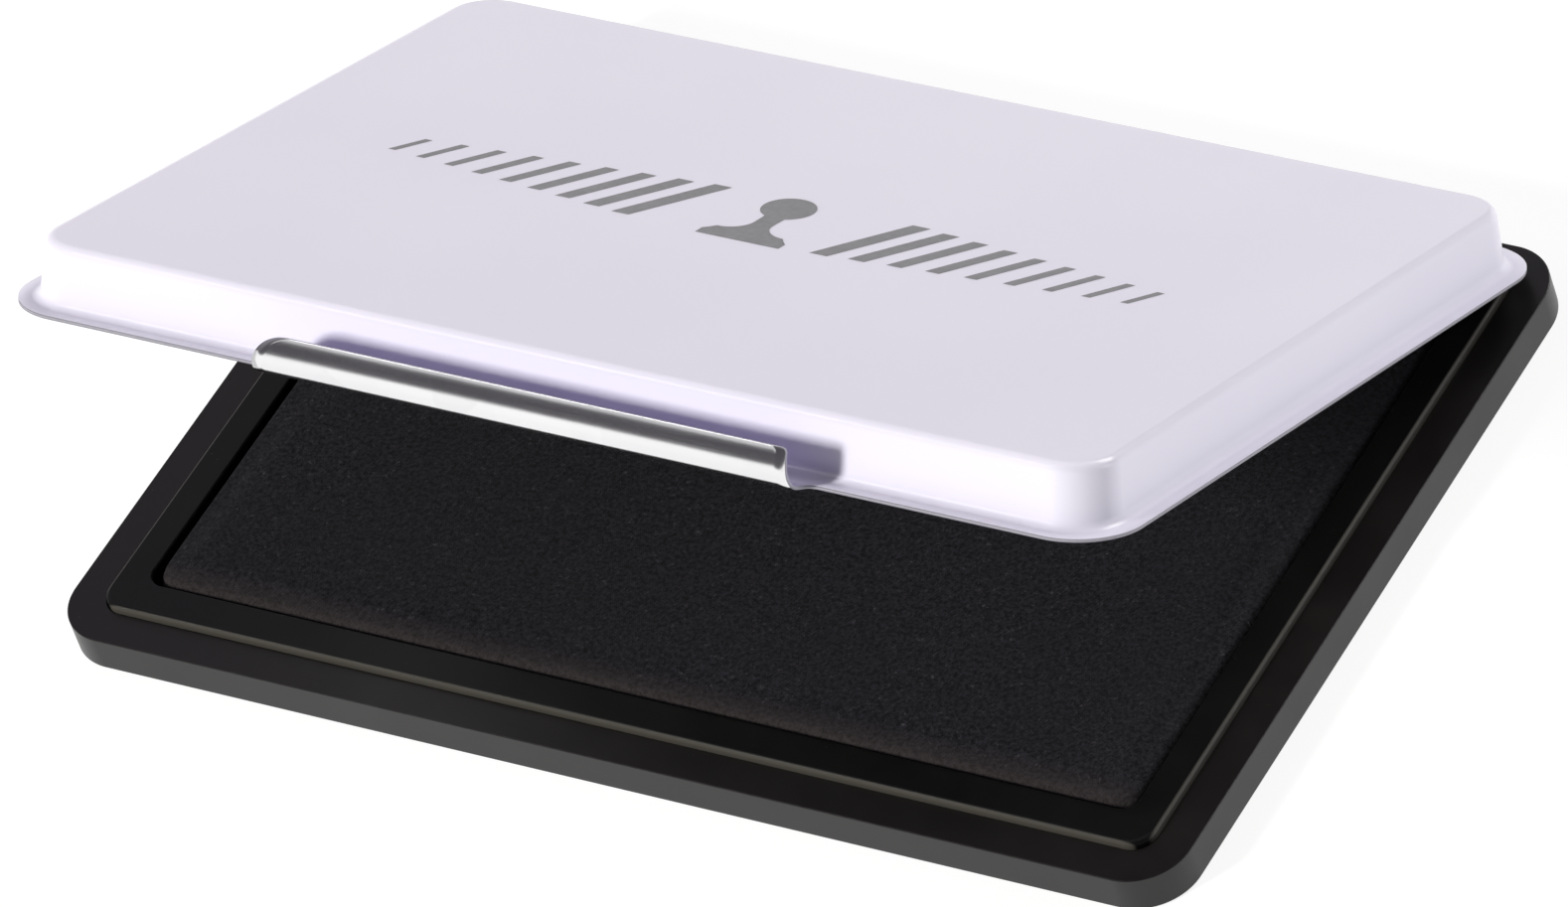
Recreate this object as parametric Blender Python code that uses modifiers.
"""Desk ink pad: a black moulded tray with a framed felt pad, under a hinged pressed-steel lid.

Metres, +Z up.  The origin is the middle of the tray's underside, +X runs along the front edge
and -Y is the front, where the lid's finger lip is.  The lid is modelled shut and turned about
its hinge axis, so LID_ANGLE is the only number that says how far it stands open.
"""
import math

import bmesh
import bpy
from mathutils import Vector

COLLECTION = "ink_pad"
MM = 0.001
GAP = 0.3 * MM                      # between pieces that touch on the real object

# Tray
TRAY_HALF = Vector((62.0, 41.75)) * MM
TRAY_RADIUS = 5.7 * MM
TRAY_HEIGHT = 3.9 * MM              # up to the ledge round the frame
TRAY_EDGE = 0.35 * MM
FLOOR = 1.2 * MM
SKIRT = 1.5 * MM
POCKET_WALL = 1.2 * MM
LEDGE_THICKNESS = 1.4 * MM
LEDGE_WIDTH = 3.82 * MM             # from the outside of the tray to the frame's step

# Frame that holds the pad down
FRAME_HALF = TRAY_HALF - Vector((LEDGE_WIDTH, LEDGE_WIDTH))
FRAME_RADIUS = 2.4 * MM
FRAME_RISE = 0.75 * MM              # how far it stands above the ledge
FRAME_EDGE = 0.3 * MM
REBATE_DEPTH = 0.5 * MM             # the seat that the frame's flange lies in
OPENING_HALF = Vector((54.77, 34.15)) * MM
OPENING_RADIUS = 1.8 * MM
FRAME_WALL = 0.85 * MM

# Pad, from the bottom up: board, felt, and the cloth drawn over both
CLOTH_HALF = OPENING_HALF - Vector((0.45, 0.45)) * MM
CLOTH_RADIUS = 2.2 * MM
CLOTH_THICKNESS = 0.4 * MM
CLOTH_TOP = 4.55 * MM
CLOTH_EDGE = 1.0 * MM
BOARD_THICKNESS = 0.6 * MM

# Hinge
AXIS_Y = 41.3 * MM
PIN_RADIUS = 0.7 * MM
PIN_CLEARANCE = 0.1 * MM
KNUCKLE_INNER = 0.825 * MM
KNUCKLE_HALF_WIDTH = 5.6 * MM
KNUCKLE_END = math.radians(200)
LUG_RADIUS = 1.3 * MM
LUG_WIDTH = 2.2 * MM
HINGE_X = 42.5 * MM                 # the middle of each knuckle, left and right
LUG_OFFSET = KNUCKLE_HALF_WIDTH + GAP + LUG_WIDTH / 2
PIN_LENGTH = 2 * LUG_OFFSET + LUG_WIDTH - 0.2 * MM

# Lid, drawn as the upper face of the sheet with the lid shut
SHEET = 0.35 * MM
LID_ANGLE = math.radians(25.5)
FLANGE_HALF = Vector((60.95, 40.7)) * MM
FLANGE_RADIUS = 6.6 * MM
FLANGE_TOP = TRAY_HEIGHT + GAP + SHEET
LID_RISE = 6.05 * MM                # from the flange's upper face to the top plate
FOOT_INSET = 2.1 * MM               # flange edge to the wall's foot
FOOT_FILLET = 1.0 * MM
FOOT_RADIUS = 4.7 * MM
TOP_INSET = 2.5 * MM                # flange edge to the wall at the top: the draft
TOP_FILLET = 1.0 * MM
TOP_RADIUS = 4.7 * MM
CORNER_STEPS = 8
FILLET_STEPS = 4
NOTCH_HALF_WIDTH = LUG_OFFSET + LUG_WIDTH / 2 + GAP
NOTCH_Y = AXIS_Y - LUG_RADIUS - GAP
NOTCH_CORNER = 0.3 * MM
AXIS_Z = FLANGE_TOP + KNUCKLE_INNER

# Finger lip: the middle of the front flange curls forward and up
LIP_HALF = 29.3 * MM
LIP_FLARE = 1.3 * MM                # how much wider the lip is where it leaves the flange
LIP_RUN = 0.4 * MM                  # flat stretch before the curl
LIP_CURL = 2.4 * MM
LIP_CURL_SWEEP = math.radians(88)
LIP_LEAN = 7.0 * MM                 # radius of the upper part, which leans back a little
LIP_LEAN_SWEEP = math.radians(17)
LIP_REACH = LIP_RUN + LIP_CURL * LIP_CURL_SWEEP + LIP_LEAN * LIP_LEAN_SWEEP
LIP_CORNER_LEFT = 4.0 * MM
LIP_CORNER_RIGHT = 0.5 * MM
LIP_STATIONS = 16
LIP_ROWS = 18


def collection(name):
    found = bpy.data.collections.new(name)
    bpy.context.scene.collection.children.link(found)
    return found


def material(name, colour, roughness, metallic=0.0):
    made = bpy.data.materials.new(name)
    made.use_nodes = True
    shader = made.node_tree.nodes["Principled BSDF"]
    shader.inputs["Base Color"].default_value = (*colour, 1.0)
    shader.inputs["Roughness"].default_value = roughness
    shader.inputs["Metallic"].default_value = metallic
    return made


def new_object(name, mesh, group, place=(0, 0, 0)):
    made = bpy.data.objects.new(name, mesh)
    made.location = place
    group.objects.link(made)
    if group is CUTTERS:
        made.hide_render = True
        made.display_type = "WIRE"
    return made


def mesh_from(bm, name):
    bmesh.ops.recalc_face_normals(bm, faces=bm.faces)
    mesh = bpy.data.meshes.new(name)
    bm.to_mesh(mesh)
    bm.free()
    return mesh


def prism(outline, along):
    """A bmesh: the flat outline swept along a vector."""
    bm = bmesh.new()
    base = bm.faces.new([bm.verts.new(point) for point in outline])
    swept = bmesh.ops.extrude_face_region(bm, geom=[base])
    moved = [item for item in swept["geom"] if isinstance(item, bmesh.types.BMVert)]
    bmesh.ops.translate(bm, verts=moved, vec=along)
    return bm


def corner_arc(centre, radius, start):
    """Quarter circle in plan, anticlockwise from the start angle."""
    return [
        Vector((centre[0] + radius * math.cos(start + math.pi / 2 * i / CORNER_STEPS),
                centre[1] + radius * math.sin(start + math.pi / 2 * i / CORNER_STEPS)))
        for i in range(CORNER_STEPS + 1)
    ]


def corner(half, radius, quadrant):
    """One rounded corner of a rectangle; quadrant 0 is +X +Y, then anticlockwise."""
    sign_x = 1 if quadrant in (0, 3) else -1
    sign_y = 1 if quadrant in (0, 1) else -1
    centre = (sign_x * (half[0] - radius), sign_y * (half[1] - radius))
    return corner_arc(centre, radius, quadrant * math.pi / 2)


def slab(name, half, radius, bottom, top, group):
    """Rounded rectangle between two heights."""
    outline = [point.to_3d() for quadrant in range(4) for point in corner(half, radius, quadrant)]
    mesh = mesh_from(prism(outline, (0, 0, top - bottom)), name)
    return new_object(name, mesh, group, (0, 0, bottom))


def combine(target, operation, other):
    step = target.modifiers.new(f"{operation.lower()} {other.name}", "BOOLEAN")
    step.operation = operation
    step.solver = "EXACT"
    step.object = other


def round_edges(target, width, segments=2):
    step = target.modifiers.new("edges", "BEVEL")
    step.width = width
    step.segments = segments
    step.limit_method = "ANGLE"
    step.angle_limit = math.radians(40)


def grow(half, amount):
    return half + Vector((amount, amount))


def smooth(target, angle=35):
    target.data.shade_smooth()
    target.data.set_sharp_from_angle(angle=math.radians(angle))


def build_base_tray():
    tray = slab("base_tray", TRAY_HALF, TRAY_RADIUS, 0, TRAY_HEIGHT, PARTS)
    round_edges(tray, TRAY_EDGE)

    over = TRAY_HEIGHT + 2 * MM
    pocket_half = grow(OPENING_HALF, FRAME_WALL + GAP)
    pocket = slab("pocket_cutter", pocket_half, OPENING_RADIUS + FRAME_WALL + GAP, FLOOR, over, CUTTERS)
    rebate = slab("rebate_cutter", grow(FRAME_HALF, GAP), FRAME_RADIUS + GAP,
                  TRAY_HEIGHT - REBATE_DEPTH, over, CUTTERS)

    core_top = TRAY_HEIGHT - LEDGE_THICKNESS
    core = slab("core_cutter", grow(TRAY_HALF, -SKIRT), TRAY_RADIUS - SKIRT, -1 * MM, core_top, CUTTERS)
    island = slab("core_island_cutter", grow(pocket_half, POCKET_WALL),
                  OPENING_RADIUS + FRAME_WALL + POCKET_WALL, -2 * MM, over, CUTTERS)
    combine(core, "DIFFERENCE", island)

    for cutter in (pocket, rebate, core):
        combine(tray, "DIFFERENCE", cutter)
    combine(tray, "UNION", build_lugs())
    combine(tray, "DIFFERENCE", build_pin_bore())
    tray.data.materials.append(material("black_moulding", (0.012, 0.012, 0.013), 0.22))
    smooth(tray)
    return tray


def build_lugs():
    """Four ears on the rear edge, two either side of each knuckle, as one cutter object."""
    arc_steps = 16
    bottom = TRAY_HEIGHT - LEDGE_THICKNESS / 2
    section = [Vector((0, -LUG_RADIUS, bottom - AXIS_Z)), Vector((0, LUG_RADIUS, bottom - AXIS_Z))]
    section += [Vector((0, LUG_RADIUS * math.cos(math.pi * i / arc_steps),
                        LUG_RADIUS * math.sin(math.pi * i / arc_steps)))
                for i in range(arc_steps + 1)]
    joined = bmesh.new()
    for side in (-1, 1):
        for offset in (-LUG_OFFSET, LUG_OFFSET):
            start = side * HINGE_X + offset - LUG_WIDTH / 2
            ear = prism([point + Vector((start, 0, 0)) for point in section], (LUG_WIDTH, 0, 0))
            scratch = mesh_from(ear, "ear")
            joined.from_mesh(scratch)
            bpy.data.meshes.remove(scratch)
    return new_object("lugs_cutter", mesh_from(joined, "lugs"), CUTTERS, (0, AXIS_Y, AXIS_Z))


def rod(name, radius, length, group, place, sides=24):
    """Round bar along X."""
    bm = bmesh.new()
    bmesh.ops.create_cone(bm, cap_ends=True, segments=sides, radius1=radius, radius2=radius, depth=length)
    mesh = mesh_from(bm, name)
    made = new_object(name, mesh, group, place)
    made.rotation_euler = (0, math.pi / 2, 0)
    return made


def build_pin_bore():
    reach = 2 * (HINGE_X + LUG_OFFSET + LUG_WIDTH)
    return rod("pin_bore_cutter", PIN_RADIUS + PIN_CLEARANCE, reach, CUTTERS, (0, AXIS_Y, AXIS_Z))


def build_pad_frame():
    top = TRAY_HEIGHT + FRAME_RISE
    flange_bottom = TRAY_HEIGHT - REBATE_DEPTH + GAP
    frame = slab("pad_frame", FRAME_HALF, FRAME_RADIUS, flange_bottom, top, PARTS)
    round_edges(frame, FRAME_EDGE)
    skirt = slab("frame_skirt_cutter", grow(OPENING_HALF, FRAME_WALL), OPENING_RADIUS + FRAME_WALL,
                 FLOOR + GAP, flange_bottom + FRAME_EDGE, CUTTERS)
    opening = slab("frame_opening_cutter", OPENING_HALF, OPENING_RADIUS, 0, top + 1 * MM, CUTTERS)
    combine(frame, "UNION", skirt)
    combine(frame, "DIFFERENCE", opening)
    frame.data.materials.append(material("black_frame", (0.012, 0.012, 0.013), 0.25))
    smooth(frame)
    return frame


def build_pad():
    """Board and felt inside the cloth, which is a cap open at the bottom."""
    bottom = FLOOR + GAP
    inside = grow(CLOTH_HALF, -CLOTH_THICKNESS)
    filling = grow(inside, -GAP)

    board_top = bottom + BOARD_THICKNESS
    board = slab("backing_board", filling, CLOTH_RADIUS, bottom, board_top, PARTS)
    board.data.materials.append(material("grey_board", (0.25, 0.22, 0.18), 0.85))

    felt_top = CLOTH_TOP - CLOTH_THICKNESS - GAP
    felt = slab("felt_pad", filling, CLOTH_RADIUS, board_top + GAP, felt_top, PARTS)
    round_edges(felt, CLOTH_EDGE / 2)
    felt.data.materials.append(material("inked_felt", (0.008, 0.008, 0.010), 0.95))

    cloth = slab("pad_cloth", CLOTH_HALF, CLOTH_RADIUS, bottom, CLOTH_TOP, PARTS)
    round_edges(cloth, CLOTH_EDGE, segments=3)
    hollow = slab("cloth_hollow_cutter", inside, CLOTH_RADIUS - CLOTH_THICKNESS, 0,
                  CLOTH_TOP - CLOTH_THICKNESS, CUTTERS)
    round_edges(hollow, CLOTH_EDGE / 2)
    combine(cloth, "DIFFERENCE", hollow)
    cloth.data.materials.append(material("inked_cloth", (0.016, 0.016, 0.020), 0.9))
    for piece in (board, felt, cloth):
        smooth(piece)


def build_hinge_pins():
    steel = material("bright_wire", (0.62, 0.62, 0.63), 0.25, 1.0)
    for side, label in ((-1, "left"), (1, "right")):
        pin = rod(f"hinge_pin_{label}", PIN_RADIUS, PIN_LENGTH, PARTS, (side * HINGE_X, AXIS_Y, AXIS_Z))
        round_edges(pin, 0.15 * MM, segments=1)
        pin.data.materials.append(steel)
        smooth(pin)


def front_stations():
    """Where the long front edge is divided: evenly across the root of the lip."""
    root = LIP_HALF + LIP_FLARE
    return [-root + 2 * root * i / LIP_STATIONS for i in range(LIP_STATIONS + 1)]


def rear_outline():
    """(x, y) of the rear flange edge, right to left, with the notches and hinge tabs."""
    tab = KNUCKLE_HALF_WIDTH
    notch = NOTCH_HALF_WIDTH
    edge = FLANGE_HALF.y
    one_side = [
        (-notch, edge), (-notch + NOTCH_CORNER, NOTCH_Y), (-tab - NOTCH_CORNER, NOTCH_Y), (-tab, AXIS_Y),
        (tab, AXIS_Y), (tab + NOTCH_CORNER, NOTCH_Y), (notch - NOTCH_CORNER, NOTCH_Y), (notch, edge),
    ]
    left = [(x - HINGE_X, y) for x, y in one_side]
    right = [(x + HINGE_X, y) for x, y in one_side]
    return [*reversed(right), *reversed(left)]


def lid_ring(half, radius, height, rear_y=None):
    """Points of one closed ring of the lid, in the same order for every ring."""
    points = [Vector((x, -half[1])) for x in front_stations()]
    points += corner(half, radius, 3)
    points += corner(half, radius, 0)
    points += [Vector((x, rear_y[i] if rear_y else half[1])) for i, (x, _) in enumerate(rear_outline())]
    points += corner(half, radius, 1)
    points += corner(half, radius, 2)
    return [Vector((p.x, p.y - AXIS_Y, height - AXIS_Z)) for p in points]


def lid_sections():
    """(half size, corner radius, height) of every ring, from the top plate out to the flange."""
    top = FLANGE_TOP + LID_RISE
    sections = []
    for i in range(FILLET_STEPS + 1):
        turn = math.pi / 2 * i / FILLET_STEPS
        inset = TOP_INSET + TOP_FILLET * (1 - math.sin(turn))
        sections.append((grow(FLANGE_HALF, -inset), TOP_RADIUS + TOP_INSET - inset,
                         top - TOP_FILLET * (1 - math.cos(turn))))
    for i in range(FILLET_STEPS):
        turn = math.pi / 2 * i / FILLET_STEPS
        inset = FOOT_INSET - FOOT_FILLET * (1 - math.cos(turn))
        sections.append((grow(FLANGE_HALF, -inset), FOOT_RADIUS + FOOT_INSET - inset,
                         FLANGE_TOP + FOOT_FILLET * (1 - math.sin(turn))))
    return sections


def bridge(bm, first, second, closed):
    """Quads between two rows of vertices; a row may be a closed ring."""
    count = len(first) if closed else len(first) - 1
    for i in range(count):
        j = (i + 1) % len(first)
        bm.faces.new((first[i], second[i], second[j], first[j]))


def lip_end(distance, corner_radius):
    """How far from the middle the lip ends, at this distance along its curl."""
    flare = LIP_FLARE * (1 - math.sqrt(1 - (1 - min(distance / LIP_FLARE, 1)) ** 2))
    past_corner = max(distance - (LIP_REACH - corner_radius), 0)
    rounding = corner_radius - math.sqrt(max(corner_radius ** 2 - past_corner ** 2, 0))
    return LIP_HALF + flare - rounding


def lip_profile(distance):
    """Reach forward and height of the lip, this far along it from the flange's edge."""
    turn = min(max(distance - LIP_RUN, 0) / LIP_CURL, LIP_CURL_SWEEP)
    forward = min(distance, LIP_RUN) + LIP_CURL * math.sin(turn)
    height = LIP_CURL * (1 - math.cos(turn))
    lean = max(distance - LIP_RUN - LIP_CURL * LIP_CURL_SWEEP, 0) / LIP_LEAN
    forward += LIP_LEAN * (math.sin(turn + lean) - math.sin(turn))
    height += LIP_LEAN * (math.cos(turn) - math.cos(turn + lean))
    return forward, height


def lip_row(distance):
    """One row of the finger lip, this far along it from the flange's edge."""
    left, right = lip_end(distance, LIP_CORNER_LEFT), lip_end(distance, LIP_CORNER_RIGHT)
    forward, height = lip_profile(distance)
    y = -FLANGE_HALF.y - forward - AXIS_Y
    z = FLANGE_TOP + height - AXIS_Z
    root = LIP_HALF + LIP_FLARE
    return [Vector((x / root * (left if x < 0 else right), y, z)) for x in front_stations()]


def add_lip(bm, root):
    previous = root
    for i in range(1, LIP_ROWS + 1):
        row = [bm.verts.new(point) for point in lip_row(LIP_REACH * i / LIP_ROWS)]
        bridge(bm, previous, row, closed=False)
        previous = row


def add_knuckle(bm, root):
    """Curl the hinge tab up round the pin; its root is the two ends of the tab's edge."""
    steps = 16
    previous = root
    for i in range(1, steps + 1):
        turn = -math.pi / 2 + (KNUCKLE_END + math.pi / 2) * i / steps
        row = [bm.verts.new((v.co.x, KNUCKLE_INNER * math.cos(turn), KNUCKLE_INNER * math.sin(turn)))
               for v in root]
        bridge(bm, previous, row, closed=False)
        previous = row


def build_lid_shell(hinge):
    """The whole lid is one pressed sheet: plate, walls, flange, finger lip and hinge knuckles."""
    bm = bmesh.new()
    rings = [[bm.verts.new(p) for p in lid_ring(*section)] for section in lid_sections()]
    foot = lid_ring(grow(FLANGE_HALF, -(FOOT_INSET - FOOT_FILLET)), FOOT_RADIUS + FOOT_FILLET, FLANGE_TOP)
    rings.append([bm.verts.new(p) for p in foot])
    rear_edge = [y for _, y in rear_outline()]
    edge = lid_ring(FLANGE_HALF, FLANGE_RADIUS, FLANGE_TOP, rear_edge)
    rings.append([bm.verts.new(p) for p in edge])

    bm.faces.new(rings[0])
    for inner, outer in zip(rings, rings[1:]):
        bridge(bm, inner, outer, closed=True)

    add_lip(bm, rings[-1][:LIP_STATIONS + 1])
    rear = LIP_STATIONS + 1 + 2 * (CORNER_STEPS + 1)
    for first in (rear + 3, rear + 11):
        add_knuckle(bm, rings[-1][first:first + 2])

    bmesh.ops.recalc_face_normals(bm, faces=bm.faces)
    top = next(face for face in bm.faces if len(face.verts) > 4)
    if top.normal.z < 0:
        bmesh.ops.reverse_faces(bm, faces=bm.faces)
    mesh = bpy.data.meshes.new("lid_shell")
    bm.to_mesh(mesh)
    bm.free()

    lid = new_object("lid_shell", mesh, PARTS)
    lid.parent = hinge
    sheet = lid.modifiers.new("sheet", "SOLIDIFY")
    sheet.thickness = SHEET
    sheet.offset = -1
    sheet.use_even_offset = True
    lid.data.materials.append(material("lavender_paint", (0.76, 0.74, 0.84), 0.28))
    smooth(lid)


def build_hinge():
    """Empty on the hinge axis; turning it about X opens and shuts the lid."""
    hinge = new_object("lid_hinge", None, PARTS, (0, AXIS_Y, AXIS_Z))
    hinge.rotation_euler = (-LID_ANGLE, 0, 0)
    return hinge


for item in list(bpy.data.objects):
    bpy.data.objects.remove(item, do_unlink=True)
PARTS = collection(COLLECTION)
CUTTERS = collection("cutters")
build_base_tray()
build_pad_frame()
build_pad()
build_hinge_pins()
build_lid_shell(build_hinge())
